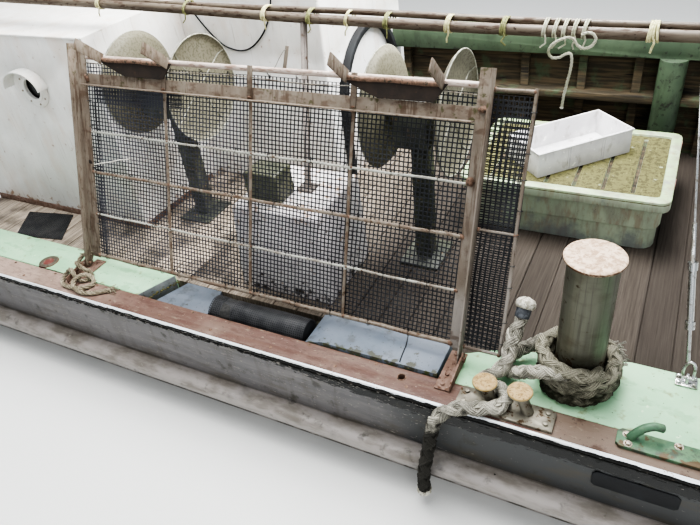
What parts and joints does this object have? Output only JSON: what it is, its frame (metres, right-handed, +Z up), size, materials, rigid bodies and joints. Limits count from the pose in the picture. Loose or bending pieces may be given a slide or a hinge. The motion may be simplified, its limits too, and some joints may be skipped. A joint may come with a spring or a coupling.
{
  "type": "fishing boat side-deck section",
  "caption": "Side-deck section of a fishing boat: gunwale, hinged mesh screen, mooring bollard with hawser, fairlead, line reels and deckhouse side.",
  "frame": {"origin": "underside of the middle girder, where the section is fastened to the hull", "axes": "+X along the gunwale towards the bollard, +Y inboard, +Z up"},
  "size_m": [3.92, 2.2863, 1.67],
  "materials": {
    "cap": "worn red-brown paint",
    "stainless": "satin, stained",
    "hull_paint": "weathered grey paint",
    "rubber": "smooth black",
    "deck_paint": "pale green deck paint",
    "red_paint": "faded red paint",
    "planks": "bare grey weathered boards",
    "timber": "rough timber",
    "cover": "pale blue-grey board",
    "net": "black plastic netting",
    "white_paint": "white gloss paint, weathered",
    "window_glass": "dark pane",
    "galvanised": "old galvanising with rust",
    "rust": "rusted angle steel",
    "reel_metal": "dull oxidised aluminium",
    "dark_paint": "dark machine paint",
    "fair_steel": "stained stainless steel",
    "bronze": "green patina on bronze",
    "rope": "weathered mooring rope"
  },
  "bodies": {
    "section": {"awning_post_left": "galvanised", "awning_post_middle": "galvanised", "awning_post_right": "galvanised", "awning_rail": "galvanised", "bollard": "stainless", "bracket_left": "rust", "bracket_right": "rust", "bronze_chock": "bronze", "bulwark_cap": "deck_paint", "bulwark_frames": "timber", "cover_left": "cover", "cover_right": "cover", "deck_disc": "red_paint", "deck_left": "deck_paint", "deck_right": "deck_paint", "deckhouse_casing": "white_paint", "deckhouse_wall": "white_paint", "edge_strip": "stainless", "fairlead": "fair_steel", "fish_box": "deck_paint", "fish_tray": "white_paint", "girders": "timber", "gunwale_cap": "cap", "hawser_coil": "rope", "hawser_lead": "rope", "hawser_loop": "rope", "hull_side": "hull_paint", "lashing": "rope", "machine_plinth": "white_paint", "motor_box": "dark_paint", "net_roll": "net", "pad_eye": "stainless", "plank_deck": "planks", "porthole_glass": "window_glass", "porthole_hood": "white_paint", "porthole_ring": "white_paint", "rail_rope": "rope", "reel_stand_left": "dark_paint", "reel_stand_right": "dark_paint", "rub_rail": "hull_paint", "side_pad": "rubber", "turnbuckle": "stainless", "wall_arch": "dark_paint", "wall_cable": "rubber", "waterway_board": "deck_paint"},
    "screen": {"screen_angle": "rust", "screen_flat_1": "rust", "screen_flat_2": "rust", "screen_flat_3": "rust", "screen_fork_1": "rust", "screen_fork_2": "rust", "screen_net": "net", "screen_post_left": "rust", "screen_post_right": "rust", "screen_rods": "rust", "screen_side_frame": "rust", "screen_top_pipe": "galvanised"},
    "reel_left_body": {"reel_left": "reel_metal"},
    "reel_right_body": {"reel_right": "reel_metal"}
  },
  "joints": [
    {"name": "screen_swing", "type": "hinge", "parent": "section", "child": "screen", "pos_m": [0, -0.446, 0.27], "axis": [1, 0, 0], "range_deg": [0, 60]},
    {"name": "reel_left_spin", "type": "hinge", "parent": "section", "child": "reel_left_body", "pos_m": [-0.7185, 0.21, 0.892], "axis": [1, 0, 0], "continuous": true},
    {"name": "reel_right_spin", "type": "hinge", "parent": "section", "child": "reel_right_body", "pos_m": [0.545, 0.21, 0.881], "axis": [1, 0, 0], "continuous": true}
  ]
}
